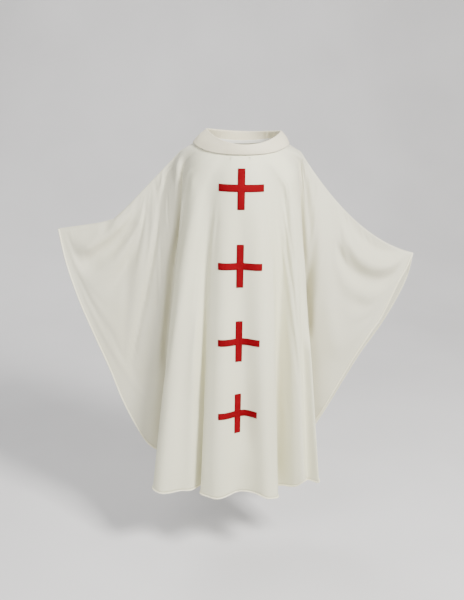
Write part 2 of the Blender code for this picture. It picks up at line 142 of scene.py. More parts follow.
# The hem, as the feet of the fold lines that run up to the contour:
# (share of the way round the panel, x, distance from the seam's plane, z).
FRONT_FOLDS = [
    (0.000, -0.624, 0.000, -0.284),  # left wrist corner, end of the shoulder seam
    (0.020, -0.605, 0.020, -0.390),
    (0.045, -0.563, 0.036, -0.520),
    (0.070, -0.510, 0.034, -0.650),
    (0.100, -0.452, 0.042, -0.790),
    (0.125, -0.412, 0.034, -0.905),
    (0.150, -0.364, 0.036, -1.005),
    (0.175, -0.318, 0.050, -1.075),
    (0.200, -0.262, 0.016, -1.125),  # the wing turns in behind the body
    (0.225, -0.222, 0.014, -1.155),  # bottom of the left groove
    (0.250, -0.258, 0.090, -1.172),
    (0.275, -0.300, 0.150, -1.188),  # left edge of the body
    (0.300, -0.272, 0.184, -1.194),
    (0.340, -0.185, 0.150, -1.198),
    (0.360, -0.142, 0.124, -1.198),
    (0.380, -0.108, 0.104, -1.200),  # valley left of the middle breadth
    (0.400, -0.127, 0.158, -1.204),
    (0.425, -0.083, 0.200, -1.202),
    (0.500, 0.038, 0.150, -1.195),  # shallow valley down the middle
    (0.560, 0.124, 0.198, -1.202),
    (0.585, 0.155, 0.168, -1.210),
    (0.605, 0.134, 0.100, -1.214),  # valley right of the middle breadth
    (0.635, 0.172, 0.100, -1.208),
    (0.668, 0.222, 0.140, -1.184),
    (0.690, 0.250, 0.146, -1.160),
    (0.708, 0.262, 0.122, -1.166),
    (0.735, 0.303, 0.152, -1.158),  # right edge of the body
    (0.760, 0.282, 0.086, -1.140),
    (0.785, 0.232, 0.014, -1.100),  # bottom of the right groove
    (0.810, 0.268, 0.014, -1.020),
    (0.835, 0.316, 0.036, -0.920),
    (0.870, 0.392, 0.036, -0.764),
    (0.910, 0.460, 0.038, -0.640),
    (0.940, 0.505, 0.036, -0.566),
    (0.965, 0.551, 0.030, -0.464),
    (0.985, 0.586, 0.018, -0.398),
    (1.000, 0.603, 0.000, -0.352),  # right wrist corner
]
BACK_FOLDS = [
    (0.000, -0.624, 0.000, -0.284),
    (0.030, -0.596, 0.022, -0.420),
    (0.070, -0.522, 0.032, -0.600),
    (0.120, -0.442, 0.024, -0.830),
    (0.165, -0.352, 0.032, -1.020),
    (0.205, -0.262, 0.022, -1.120),  # left groove
    (0.245, -0.266, 0.086, -1.170),
    (0.285, -0.286, 0.138, -1.190),  # left edge of the back's body
    (0.345, -0.196, 0.126, -1.203),
    (0.410, -0.118, 0.164, -1.210),
    (0.500, 0.000, 0.138, -1.214),
    (0.590, 0.118, 0.164, -1.210),
    (0.655, 0.196, 0.126, -1.203),
    (0.715, 0.286, 0.138, -1.190),
    (0.755, 0.266, 0.086, -1.160),
    (0.795, 0.262, 0.022, -1.080),  # right groove
    (0.840, 0.340, 0.030, -0.930),
    (0.890, 0.439, 0.026, -0.740),
    (0.935, 0.534, 0.034, -0.585),
    (0.970, 0.592, 0.024, -0.450),
    (1.000, 0.603, 0.000, -0.352),
]

# Folds and hollows in the front panel's wings: (depth, reach to each side, points (x, z) along it).
# A depth above zero presses the cloth in, and one below zero lifts it.
LEFT_WING_CREASES = [
    # two thin folds from the shoulder beside the groove
    (0.018, 0.009, [(-0.222, -0.030), (-0.252, -0.105), (-0.284, -0.288), (-0.308, -0.405),
                    (-0.337, -0.541), (-0.391, -0.790)]),
    (0.016, 0.018, [(-0.262, -0.100), (-0.304, -0.191), (-0.344, -0.306), (-0.377, -0.360),
                    (-0.413, -0.434), (-0.466, -0.510)]),
    # folds that fan out from the wrist
    (0.022, 0.012, [(-0.280, -0.110), (-0.326, -0.191), (-0.366, -0.249), (-0.402, -0.307),
                    (-0.448, -0.354), (-0.480, -0.388)]),
    (0.016, 0.009, [(-0.425, -0.235), (-0.465, -0.280), (-0.502, -0.318)]),
    (0.007, 0.016, [(-0.372, -0.345), (-0.390, -0.494), (-0.407, -0.720), (-0.410, -0.830)]),
    # the ridge and hollow below it that reach the wrist corner
    (-0.024, 0.022, [(-0.360, -0.200), (-0.400, -0.250), (-0.459, -0.300), (-0.520, -0.333),
                     (-0.610, -0.345)]),
    (0.030, 0.022, [(-0.350, -0.240), (-0.400, -0.285), (-0.466, -0.338), (-0.524, -0.392),
                    (-0.600, -0.425)]),
]
RIGHT_WING_CREASES = [
    # two folds from the shoulder beside the groove
    (0.018, 0.014, [(0.204, -0.010), (0.218, -0.097), (0.236, -0.215), (0.249, -0.337),
                    (0.248, -0.480), (0.246, -0.560)]),
    (0.015, 0.018, [(0.250, -0.080), (0.296, -0.182), (0.338, -0.265), (0.372, -0.330)]),
    (-0.014, 0.030, [(0.262, -0.240), (0.290, -0.400), (0.330, -0.600), (0.370, -0.760)]),
    # the hollow under the seam, then the ridge and hollow that swing up to the wrist corner
    (0.024, 0.014, [(0.330, -0.200), (0.373, -0.246), (0.432, -0.306), (0.485, -0.334),
                    (0.545, -0.340), (0.590, -0.345)]),
    (-0.016, 0.026, [(0.300, -0.180), (0.340, -0.265), (0.394, -0.340), (0.443, -0.378),
                     (0.506, -0.388), (0.562, -0.368), (0.600, -0.345)]),
    (0.019, 0.028, [(0.330, -0.300), (0.372, -0.372), (0.430, -0.424), (0.491, -0.440),
                    (0.550, -0.425), (0.595, -0.390)]),
    (0.009, 0.026, [(0.380, -0.480), (0.440, -0.530), (0.520, -0.520)]),
    (0.014, 0.009, [(0.405, -0.590), (0.440, -0.585), (0.490, -0.565)]),
]
# Folds in the body of the front panel.
BODY_CREASES = [
    (0.007, 0.034, [(-0.106, -0.050), (-0.100, -0.250), (-0.101, -0.490), (-0.118, -0.784)]),
    (0.017, 0.030, [(0.154, -0.085), (0.151, -0.178), (0.148, -0.450), (0.146, -0.742),
                    (0.150, -1.230)]),
    (0.006, 0.024, [(0.098, -0.070), (0.104, -0.200), (0.105, -0.420)]),
    (-0.018, 0.028, [(-0.135, -0.350), (-0.150, -0.800), (-0.165, -1.330)]),
    (-0.014, 0.030, [(0.026, -0.960), (0.038, -1.100), (0.040, -1.330)]),
    (0.026, 0.015, [(-0.186, 0.025), (-0.188, -0.200), (-0.214, -0.320), (-0.240, -0.540),
                    (-0.268, -0.800)]),
    (0.024, 0.015, [(0.190, 0.028), (0.200, -0.120), (0.212, -0.260), (0.232, -0.440),
                    (0.256, -0.680)]),
]


# ------------------------------------------------------------------------------ shared helpers


def link(obj):
    bpy.context.scene.collection.objects.link(obj)
    return obj


def add_mesh(name, points, faces, material):
    mesh = bpy.data.meshes.new(name)
    mesh.from_pydata([tuple(p) for p in points], [], faces)
    mesh.validate()
    mesh.shade_smooth()
    if material:
        mesh.materials.append(material)
    return link(bpy.data.objects.new(name, mesh))


def apply_modifiers(obj):
    """Replaces the object's mesh by what its modifiers make of it."""
    graph = bpy.context.evaluated_depsgraph_get()
    made = bpy.data.meshes.new_from_object(obj.evaluated_get(graph), depsgraph=graph)
    obj.modifiers.clear()
    old = obj.data
    obj.data = made
    bpy.data.meshes.remove(old)
    made.shade_smooth()


def coordinates(obj):
    flat = np.empty(len(obj.data.vertices) * 3, np.float32)
    obj.data.vertices.foreach_get("co", flat)
    return flat.reshape(-1, 3).astype(np.float64)


def smooth_step(t):
    t = np.clip(t, 0.0, 1.0)
    return t * t * (3 - 2 * t)


def through(rows, at):
    """Rows (parameter, values...) read on a smooth curve at the parameters in at."""
    table = np.array(rows, float)
    known, values = table[:, 0], table[:, 1:]
    slopes = np.gradient(values, known, axis=0)
    i = np.clip(np.searchsorted(known, at, side="right") - 1, 0, len(known) - 2)
    span = (known[i + 1] - known[i])[:, None]
    t = ((at - known[i]) / (known[i + 1] - known[i]))[:, None]
    return (
        (2 * t**3 - 3 * t**2 + 1) * values[i]
        + (t**3 - 2 * t**2 + t) * span * slopes[i]
        + (3 * t**2 - 2 * t**3) * values[i + 1]
        + (t**3 - t**2) * span * slopes[i + 1]
    )


# ------------------------------------------------------------------------------ materials


# Painted shade: ivory within WING_DEPTH of the seams' plane (wings and grooves) is fully darkened,
# fading out by BODY_DEPTH.
WING_DEPTH = 0.045  # distances from the seams' plane at which cloth counts as wing and as body
BODY_DEPTH = 0.100
SLUB_SCALE, SLUB_SHARE = 900.0, 0.35  # thick places in the yarn, and their share in the colour
CREPE_SCALE, CREPE_RELIEF = 160.0, 0.0012  # the cloth's uneven surface
WEFT_SPACING = 1.15  # weft threads lie this much further apart than warp threads


class Nodes:
    """Short calls for building one material's node tree."""

    def __init__(self, name):
        self.material = bpy.data.materials.new(name)
        self.material.use_nodes = True
        self.tree = self.material.node_tree
        self.shader = self.tree.nodes["Principled BSDF"]
        self.position = self.add("ShaderNodeTexCoord").outputs["Object"]

    def add(self, kind, **settings):
        node = self.tree.nodes.new(kind)
        for key, value in settings.items():
            if key in node.inputs:
                node.inputs[key].default_value = value
            else:
                setattr(node, key, value)
        return node

    def join(self, output, socket):
        self.tree.links.new(output, socket)

    def math(self, operation, a, b=None):
        node = self.add("ShaderNodeMath", operation=operation)
        for socket, value in zip(node.inputs, (a, b)):
            if value is None:
                continue
            if isinstance(value, (int, float)):
                socket.default_value = value
            else:
                self.join(value, socket)
        return node.outputs[0]

    def noise(self, scale, detail=3.0, roughness=0.5):
        node = self.add("ShaderNodeTexNoise", Scale=scale, Detail=detail, Roughness=roughness)
        self.join(self.position, node.inputs["Vector"])
        return node.outputs["Fac"]

    def threads(self, axis, spacing):
        """A wave of round threads that repeat along one axis."""
        split = self.add("ShaderNodeSeparateXYZ")
        self.join(self.position, split.inputs[0])
        phase = self.math("MULTIPLY", split.outputs[axis], 2 * math.pi / spacing)
        return self.math("SINE", phase)

    def ramp(self, factor, stops):
        node = self.add("ShaderNodeValToRGB")
        self.join(factor, node.inputs[0])
        line = node.color_ramp
        line.elements[0].position, line.elements[0].color = stops[0]
        line.elements[1].position, line.elements[1].color = stops[-1]
        for place, colour in stops[1:-1]:
            line.elements.new(place).color = colour
        return node.outputs["Color"]

    def shade_wings(self, colour, tint):
        """The colour, multiplied by a painted shade in the wings and grooves, near the seams'
        plane.
        """
        split = self.add("ShaderNodeSeparateXYZ")
        self.join(self.position, split.inputs[0])
        from_seam = self.math("ABSOLUTE", split.outputs["Y"])
        unshaded = (1.0, 1.0, 1.0, 1.0)
        body = self.ramp(from_seam, [(WING_DEPTH, tint), (BODY_DEPTH, unshaded)])
        node = self.add("ShaderNodeMix", data_type="RGBA", blend_type="MULTIPLY")
        node.inputs["Factor"].default_value = 1.0
        self.join(colour, node.inputs[6])
        self.join(body, node.inputs[7])
        return node.outputs[2]

    def bump(self, height, strength, distance, below=None):
        node = self.add("ShaderNodeBump", Strength=strength, Distance=distance)
        self.join(height, node.inputs["Height"])
        if below is not None:
            self.join(below, node.inputs["Normal"])
        return node.outputs["Normal"]


def srgb(r, g, b):
    """A linear colour from 0 to 255 values as a screen shows them."""
    linear = [
        c / 12.92 if c <= 0.04045 else ((c + 0.055) / 1.055) ** 2.4
        for c in (r / 255, g / 255, b / 255)
    ]
    return (*linear, 1.0)


def woven(name, dark, light, roughness, sheen, spacing, relief, mottle, gloss=0.25, wing_shade=None):
    """A plain weave: crossing threads, slubs, a slow change of colour and a soft sheen.

    spacing is from thread to thread, relief is how far the threads stand out, mottle is the scale
    of the change of colour, and the last argument is a painted shade for the wings and grooves.
    """
    n = Nodes(name)
    warp = n.threads("X", spacing)
    weft = n.threads("Z", spacing * WEFT_SPACING)
    cloth = n.math("MULTIPLY", warp, weft)
    slub = n.noise(SLUB_SCALE, 2.0)
    broad = n.noise(mottle, 3.0)
    blended = n.math(
        "ADD", n.math("MULTIPLY", slub, SLUB_SHARE), n.math("MULTIPLY", broad, 1 - SLUB_SHARE)
    )
    colour = n.ramp(blended, [(0.30, dark), (0.70, light)])
    # painted shade: the wings and grooves come out darker and greyer than the body
    if wing_shade:
        colour = n.shade_wings(colour, wing_shade)
    n.join(colour, n.shader.inputs["Base Color"])
    height = n.math("ADD", n.math("MULTIPLY", cloth, 0.5), slub)
    fine = n.bump(height, 0.25, relief)
    crepe = n.bump(n.noise(CREPE_SCALE, 4.0, 0.6), 0.12, CREPE_RELIEF, fine)
    n.join(crepe, n.shader.inputs["Normal"])
    n.shader.inputs["Roughness"].default_value = roughness
    n.shader.inputs["Specular IOR Level"].default_value = gloss
    n.shader.inputs["Sheen Weight"].default_value = sheen
    n.shader.inputs["Sheen Roughness"].default_value = 0.45
    return n.material


def make_materials():
    return {
        # the ivory's wing tint is painted shade, darker and greyer in the wings and grooves
        "ivory": woven(
            "ivory_crepe", srgb(230, 227, 197), srgb(239, 237, 211), roughness=0.85, sheen=0.25,
            spacing=0.0009, relief=0.0004, mottle=3.0, wing_shade=(0.85, 0.84, 0.875, 1.0),
        ),
        "collar": woven(
            "collar_crepe", srgb(225, 216, 184), srgb(234, 226, 201), roughness=0.82, sheen=0.25,
            spacing=0.0009, relief=0.0004, mottle=5.0,
        ),
        "red": woven(
            "red_applique", srgb(114, 0, 12), srgb(134, 0, 17), roughness=0.8, sheen=0.0,
            spacing=0.0011, relief=0.0005, mottle=12.0, gloss=0.08,
        ),
        "satin": woven(
            "red_satin_thread", srgb(100, 0, 10), srgb(124, 0, 15), roughness=0.5, sheen=0.0,
            spacing=0.0008, relief=0.0006, mottle=30.0, gloss=0.12,
        ),
        "cord": woven(
            "cream_hem_cord", srgb(246, 240, 208), srgb(254, 250, 228), roughness=0.45, sheen=0.2,
            spacing=0.0018, relief=0.0008, mottle=20.0,
        ),
        "tape": woven(
            "white_tape", srgb(224, 222, 212), srgb(236, 234, 226), roughness=0.8, sheen=0.1,
            spacing=0.0012, relief=0.0005, mottle=10.0,
        ),
    }


# ------------------------------------------------------------------------------ stage


CAMERA_PLACE = (-0.0227, -2.6985, 0.378)
CAMERA_LOOKS_DOWN = math.radians(18.7)
CAMERA_ROLL = math.radians(0.82)
CAMERA_LENS_MM = 48.2
FLOOR_Z = -1.512
FLOOR_REACH = 40.0
BEND_START = 2.0  # where the floor begins to curve up, behind the garment
BEND_RADIUS = 2.4
WALL_TOP = 12.0


def make_camera():
    data = bpy.data.cameras.new("camera")
    data.sensor_width = 36.0
    data.lens = CAMERA_LENS_MM
    camera = link(bpy.data.objects.new("camera", data))
    turn = Matrix.Rotation(math.pi / 2 - CAMERA_LOOKS_DOWN, 4, "X") @ Matrix.Rotation(
        CAMERA_ROLL, 4, "Z"
    )
    camera.matrix_world = Matrix.Translation(CAMERA_PLACE) @ turn
    bpy.context.scene.camera = camera


def area_light(name, place, target, size, watts, colour):
    data = bpy.data.lights.new(name, "AREA")
    data.shape = "RECTANGLE"
    data.size, data.size_y = size
    data.energy = watts
    data.color = colour
    light = link(bpy.data.objects.new(name, data))
    light.location = place
    aim = Vector(target) - Vector(place)
    light.rotation_euler = aim.to_track_quat("-Z", "Y").to_euler()
    light.visible_camera = False


def make_stage():
    """A pale floor that curves up into a plain wall well behind the garment, and soft lights."""
    profile = [(-FLOOR_REACH, FLOOR_Z), (BEND_START, FLOOR_Z)]
    profile += [
        (BEND_START + BEND_RADIUS * math.sin(a), FLOOR_Z + BEND_RADIUS * (1 - math.cos(a)))
        for a in np.linspace(0.1, math.pi / 2, 24)
    ]
    profile += [(BEND_START + BEND_RADIUS, WALL_TOP)]
    points = [(x, y, z) for x in (-FLOOR_REACH, FLOOR_REACH) for y, z in profile]
    count = len(profile)
    faces = [(i, i + 1, i + 1 + count, i + count) for i in range(count - 1)]
    n = Nodes("studio_paper")
    tint = n.ramp(n.noise(1.2), [(0.35, srgb(222, 220, 220)), (0.65, srgb(230, 228, 228))])
    n.join(tint, n.shader.inputs["Base Color"])
    n.shader.inputs["Roughness"].default_value = 0.9
    backdrop = add_mesh("backdrop", points, faces, n.material)
    area_light("key", (2.2, -2.4, 2.4), (0, 0, -0.5), (1.0, 1.0), 398, (1.0, 0.99, 0.96))
    area_light("fill", (-0.9, -2.2, 0.9), (0, 0, -0.6), (1.2, 1.2), 43, (0.98, 0.99, 1.0))
    area_light("back", (-1.8, 3.0, 2.6), (0, 0, -0.5), (1.6, 1.6), 110, (0.98, 0.99, 1.0))
    world = bpy.data.worlds.new("world")
    world.use_nodes = True
    world.node_tree.nodes["Background"].inputs["Color"].default_value = (0.86, 0.88, 0.9, 1)
    world.node_tree.nodes["Background"].inputs["Strength"].default_value = 0.30
    bpy.context.scene.world = world


# ------------------------------------------------------------------------------ panels


def left_seam_sag(t):
    """The left seam runs straight to where the wrist holds it up, then kinks out to the corner."""
    rise = np.where(t < WRIST, t / WRIST, (1 - t) / (1 - WRIST))
    return LEFT_SEAM_SAG * (rise - WRIST_BLUNT * np.exp(-(((t - WRIST) / WRIST_WIDTH) ** 2)))


def right_seam_sag(t):
    """The right seam hangs in one even curve."""
    return RIGHT_SEAM_SAG * 4 * t * (1 - t)


def drape(folds, contour, neck_depth, side):
    """A panel's points before the simulation, as an array (fold lines, rows, 3)."""
    shares = np.concatenate(
        [
            np.linspace(a[0], b[0], COLUMNS_PER_FOLD, endpoint=False)
            for a, b in zip(folds, folds[1:])
        ]
        + [[1.0]]
    )
    feet = through(folds, shares)
    bends = through(contour, shares)
    turn = math.pi * shares
    necks = np.stack(
        [
            -NECK_HALF_WIDTH * np.cos(turn),
            neck_depth * np.sin(turn),
            NECK_SIDE_RISE - NECK_DROP * np.sin(turn) ** 2,
        ],
        1,
    )
    lines = []
    for i in range(len(shares)):
        t = np.linspace(0, 1, ROWS_YOKE, endpoint=False)[:, None]
        yoke = necks[i] * (1 - t) + bends[i] * t
        bulge = YOKE_CROWN * np.sin(math.pi * t[:, 0] ** YOKE_CROWN_SKEW)
        yoke[:, 1] += bulge * np.sin(turn[i])
        yoke[:, 2] += YOKE_SIDE_LIFT * bulge * np.cos(turn[i]) ** 2
        t = np.linspace(0, 1, ROWS_HANG + 1)[:, None]
        hang = bends[i] * (1 - t) + feet[i] * t
        near_left = float(smooth_step(1 - shares[i] / LEFT_SAG_SHARE))
        near_right = float(smooth_step(1 - (1 - shares[i]) / RIGHT_SAG_SHARE))
        hang[:, 2] -= near_left * left_seam_sag(t[:, 0]) + near_right * right_seam_sag(t[:, 0])
        lines.append(np.concatenate([yoke, hang]))
    grid = np.array(lines)
    grid[:, :, 1] = side * (np.maximum(grid[:, :, 1], 0.0) + SEAM_HALF_GAP)
    return grid


def pressed(grid, creases, side):
    """The panel's points with folds pressed in along lines drawn on its face."""
    made = grid.copy()
    x, z = grid[:, :, 0], grid[:, :, 2]
    for depth, reach, points in creases:
        line = np.array(points, float)
        steps = np.linalg.norm(np.diff(line, axis=0), axis=1)
        along = np.concatenate([[0.0], np.cumsum(steps)])
        at = np.linspace(0, along[-1], CREASE_SAMPLES)
        smooth = through(np.column_stack([along, line]), at)
        away = np.hypot(x[..., None] - smooth[:, 0], z[..., None] - smooth[:, 1])
        nearest = away.argmin(-1)
        distance = np.take_along_axis(away, nearest[..., None], -1)[..., 0]
        travelled = at[nearest]
        start = CREASE_START if depth > 0 else SWELL * at[-1]
        fade = smooth_step(travelled / start) * smooth_step((at[-1] - travelled) / CREASE_END)
        made[:, :, 1] -= side * depth * fade * np.exp(-((distance / reach) ** 2))
    made[:, :, 1] = side * np.maximum(side * made[:, :, 1], SEAM_HALF_GAP)
    return made


def panel(name, folds, contour, neck_depth, side, creases, material):
    grid = pressed(drape(folds, contour, neck_depth, side), creases, side)
    columns, rows = grid.shape[:2]
    faces = []
    for c in range(columns - 1):
        for r in range(rows - 1):
            a = c * rows + r
            quad = (a, a + 1, a + rows + 1, a + rows)
            faces.append(quad if side < 0 else quad[::-1])
    obj = add_mesh(name, grid.reshape(-1, 3), faces, material)
    return obj, (columns, rows)


def hang(obj, size):
    """Lets gravity settle the cloth, held along the shoulder seams and at the neck."""
    columns, rows = size
    held = obj.vertex_groups.new(name="held")
    fixed, yoke, loose = [], [], []
    for c in range(columns):
        for r in range(rows):
            if c in (0, columns - 1) or r == 0:
                fixed.append(c * rows + r)
            elif r < ROWS_YOKE:
                yoke.append(c * rows + r)
            else:
                loose.append(c * rows + r)
    for indices, weight in ((fixed, 1.0), (yoke, HOLD_YOKE), (loose, HOLD_HANG)):
        held.add(indices, weight, "REPLACE")
    cloth = obj.modifiers.new("gravity", "CLOTH")
    setting = cloth.settings
    setting.quality = 6
    setting.mass = 0.3
    setting.tension_stiffness = 20
    setting.compression_stiffness = 20
    setting.shear_stiffness = 8
    setting.bending_stiffness = 0.6
    setting.air_damping = 3
    setting.vertex_group_mass = "held"
    setting.pin_stiffness = 1.0
    setting.shrink_min = -SPARE_CLOTH
    cloth.collision_settings.use_collision = False
    cloth.collision_settings.use_self_collision = False
    cloth.point_cache.frame_start = 1
    cloth.point_cache.frame_end = SIM_FRAMES
    for number in range(1, SIM_FRAMES + 1):
        bpy.context.scene.frame_set(number)
    apply_modifiers(obj)
    obj.vertex_groups.clear()
    bpy.context.scene.frame_set(1)


def smooth_cloth(obj, size, rounds, share):
    """Evens out the cloth, fully on the shoulders and the upper chest, and keeps its edges."""
    grid = coordinates(obj).reshape(*size, 3)
    rows = np.arange(size[1])[None, :, None]
    on_shoulders = smooth_step((2 * ROWS_YOKE - rows) / ROWS_YOKE)
    off_chest = smooth_step((np.abs(grid[:, :, :1]) - CHEST_HALF_WIDTH) / CHEST_EDGE)
    on_shoulders = on_shoulders * np.where(rows < ROWS_YOKE, 1.0, 1.0 - off_chest)
    for _ in range(rounds):
        even = grid.copy()
        even[1:-1, 1:-1] = (
            grid[:-2, 1:-1] + grid[2:, 1:-1] + grid[1:-1, :-2] + grid[1:-1, 2:]
        ) / 4
        grid += (even - grid) * np.maximum(on_shoulders, share)
    obj.data.vertices.foreach_set("co", grid.reshape(-1).astype(np.float32))
    obj.data.update()


def thicken(obj, thickness):
    solid = obj.modifiers.new("cloth", "SOLIDIFY")
    solid.thickness = thickness
    solid.offset = -1.0
    solid.use_even_offset = False
    apply_modifiers(obj)


# ------------------------------------------------------------------------------ swept pieces


def resampled(points, spacing):
    """Points at an even spacing along a smooth line through these, and how far along each is."""
    line = np.array(points, float)
    steps = np.linalg.norm(np.diff(line, axis=0), axis=1)
    line = line[np.concatenate([[True], steps > 1e-6])]
    along = np.concatenate([[0.0], np.cumsum(np.linalg.norm(np.diff(line, axis=0), axis=1))])
    count = max(8, round(along[-1] / spacing))
    at = np.linspace(0, along[-1], count + 1)
    return through(np.column_stack([along, line]), at), at


def frames_along(line):
    """Two directions across the line at each point, turning as little as they can."""
    tangents = np.gradient(line, axis=0)
    tangents /= np.linalg.norm(tangents, axis=1)[:, None]
    across = np.cross(tangents[0], (0.0, 1.0, 0.0))
    across /= np.linalg.norm(across)
    first = []
    for tangent in tangents:
        across = across - tangent * np.dot(across, tangent)
        across /= np.linalg.norm(across)
        first.append(across)
    return np.array(first), np.cross(tangents, first)


ROPE_RINGS_PER_TURN = 5
ROPE_END_RINGS = 4  # over these, an end rounds off
ROPE_BLUNT = 0.4  # the very end's width, as a share of one ring of that


def rope(name, points, material, radius, pitch, depth, sides):
    """A twisted cord with two strands along a line, with closed round ends.

    pitch is the length of one twist, and depth is how deep the groove between the strands is, as
    a share of the radius.
    """
    line, along = resampled(points, pitch / ROPE_RINGS_PER_TURN)
    first, second = frames_along(line)
    turns = np.linspace(0, 2 * math.pi, sides, endpoint=False)
    rings = []
    for i in range(len(line)):
        near_end = min(i, len(line) - 1 - i)
        taper = math.sin(math.pi / 2 * min(1.0, (near_end + ROPE_BLUNT) / ROPE_END_RINGS))
        bulge = 1 + depth * np.cos(2 * turns - 2 * math.pi * along[i] / pitch)
        reach = radius * taper * bulge
        rings.append(
            line[i]
            + np.outer(reach * np.cos(turns), first[i])
            + np.outer(reach * np.sin(turns), second[i])
        )
    points = np.concatenate([*rings, line[:1], line[-1:]])
    faces = []
    for i in range(len(line) - 1):
        for k in range(sides):
            n = (k + 1) % sides
            a, b = i * sides, (i + 1) * sides
            faces.append((a + k, a + n, b + n, b + k))
    start, stop, last = len(points) - 2, len(points) - 1, (len(line) - 1) * sides
    for k in range(sides):
        n = (k + 1) % sides
        faces.append((start, n, k))
        faces.append((stop, last + k, last + n))
    obj = add_mesh(name, points, faces, material)
    face_outwards(obj)
    return obj


def face_outwards(obj):
    made = bmesh.new()
    made.from_mesh(obj.data)
    bmesh.ops.recalc_face_normals(made, faces=made.faces)
    made.to_mesh(obj.data)
    made.free()


# ------------------------------------------------------------------------------ collar


COLLAR_COLUMNS = 260
STAND_ROWS, ROLL_ROWS, FALL_ROWS = 14, 12, 20
COLLAR_PLY_STEP = 0.0013
COLLAR_PLY = 0.0009
COLLAR_ROLL = 0.0046  # radius of the rolled top edge
COLLAR_ROLL_TURN = 150  # degrees that the cloth turns over the roll
COLLAR_SEAM_INSET = 0.004  # the collar stands just inside the neck edge
COLLAR_SEAM_RAISE = 0.003
COLLAR_CLEARANCE = 0.0014  # under the lower edge of the fall
COLLAR_FALL_BULGE = 0.003
COLLAR_TOP_SHIFT = 0.008  # the open top sits a little to the right
COLLAR_TOP_TILT = 0.004  # and its right side is this much lower
# Rings round the neck, seen from above: half the width, depth to the front and to the back, height
# at the sides, and how much lower the front and the back are.
COLLAR_TOP = (0.119, 0.131, 0.104, 0.063, 0.031, 0.018)
COLLAR_FALL = (0.158, 0.149, 0.128, 0.014, 0.012, 0.010)
COLLAR_TOP_POINT = 1.35  # above 1, the front and back meet in a soft corner
COLLAR_WAVE = 0.0020
COLLAR_WAVE_COUNT = 2.2
GATHERS = 0.0019  # depth of the gathers inside the nape's two sides
GATHER_PLACES = (math.pi + 0.55, 2 * math.pi - 0.50)
GATHER_SPREAD = 0.38
GATHER_WAVES = ((31, 1.0, 0.0), (53, 0.6, 1.0))  # waves round the neck, size, phase
GATHER_HEIGHT, GATHER_REACH = 0.2, 0.26  # as shares of the way from the neck seam to the edge
TAPE_INSET, TAPE_THICKNESS = 0.0062, 0.0008
TAPE_FOOT, TAPE_HEIGHT = -0.001, 0.012


def ring_point(turn, half_width, front, back, side_height, front_drop, back_drop, point=1.0):
    """A point on a closed neckline curve; turn is in radians from the left side.

    Where point is above 1, the front and back meet at the sides in a soft corner.
    """
    c, s = math.cos(turn), math.sin(turn)
    depth, drop = (front, front_drop) if s > 0 else (back, back_drop)
    reach = math.copysign(abs(s) ** point, s)
    return Vector((-half_width * c, -depth * reach, side_height - drop * abs(s) ** (3 - point)))


def neck_ring(turn, inset, raised):
    """A point on the panels' neck edge, moved in towards the neck and up."""
    return ring_point(
        turn, NECK_HALF_WIDTH - inset, FRONT_NECK_DEPTH - inset, BACK_NECK_DEPTH - inset,
        NECK_SIDE_RISE + raised, NECK_DROP, NECK_DROP,
    )


def collar_waves(turn, height):
    """How far the collar stands out from its even shape, with gathers inside the nape's sides."""
    around = (COLLAR_WAVE_COUNT * math.cos(turn), COLLAR_WAVE_COUNT * math.sin(turn))
    noise = soft_noise(Vector((*around, 3 * height)))
    wave = sum(size * math.sin(count * turn + phase) for count, size, phase in GATHER_WAVES)
    near = sum(math.exp(-(((turn - middle) / GATHER_SPREAD) ** 2)) for middle in GATHER_PLACES)
    band = float(smooth_step(1 - abs(height - GATHER_HEIGHT) / GATHER_REACH))
    return COLLAR_WAVE * noise + GATHERS * near * wave * band


def collar_section(turn, ply, cloth):
    """The collar's section at one turn, from the neck seam up over the roll and down the fall."""
    seam = neck_ring(turn, COLLAR_SEAM_INSET, COLLAR_SEAM_RAISE)
    top = ring_point(turn, *COLLAR_TOP, COLLAR_TOP_POINT)
    top.x += COLLAR_TOP_SHIFT
    top.z -= COLLAR_TOP_TILT * (1 - math.cos(turn)) / 2
    edge = ring_point(turn, *COLLAR_FALL)
    outward = Vector((edge.x - top.x, edge.y - top.y, 0)).normalized()
    inset = ply * COLLAR_PLY_STEP
    radius = COLLAR_ROLL - inset
    middle = top + outward * COLLAR_ROLL - Vector((0, 0, COLLAR_ROLL))
    arc = []
    for i in range(ROLL_ROWS + 1):
        a = math.radians(COLLAR_ROLL_TURN * i / ROLL_ROWS)
        arc.append(
            middle - outward * radius * math.cos(a) + Vector((0, 0, radius * math.sin(a)))
        )
    foot = seam + outward * inset
    section = [foot.lerp(arc[0], i / STAND_ROWS) for i in range(STAND_ROWS)] + arc
    place, normal, _, _ = cloth.find_nearest(edge)
    if normal.dot(outward + Vector((0, 0, 1))) < 0:
        normal = -normal
    tip = place + normal * (COLLAR_PLY_STEP * (3 - ply) + COLLAR_CLEARANCE)
    for i in range(1, FALL_ROWS + 1):
        t = i / FALL_ROWS
        point = arc[-1].lerp(tip, t)
        section.append(point + outward * COLLAR_FALL_BULGE * math.sin(math.pi * t))
    count = len(section) - 1
    return [
        point + outward * collar_waves(turn, i / count) * math.sin(math.pi * i / count)
        for i, point in enumerate(section)
    ]


def collar_ply(name, ply, cloth, material):
    sections = [
        collar_section(2 * math.pi * i / COLLAR_COLUMNS, ply, cloth)
        for i in range(COLLAR_COLUMNS)
    ]
    rows = len(sections[0])
    points = [p for section in sections for p in section]
    faces = []
    for i in range(COLLAR_COLUMNS):
        a, b = i * rows, (i + 1) % COLLAR_COLUMNS * rows
        for r in range(rows - 1):
            faces.append((a + r, a + r + 1, b + r + 1, b + r))
    obj = add_mesh(name, points, faces, material)
    thicken(obj, COLLAR_PLY)
    return obj


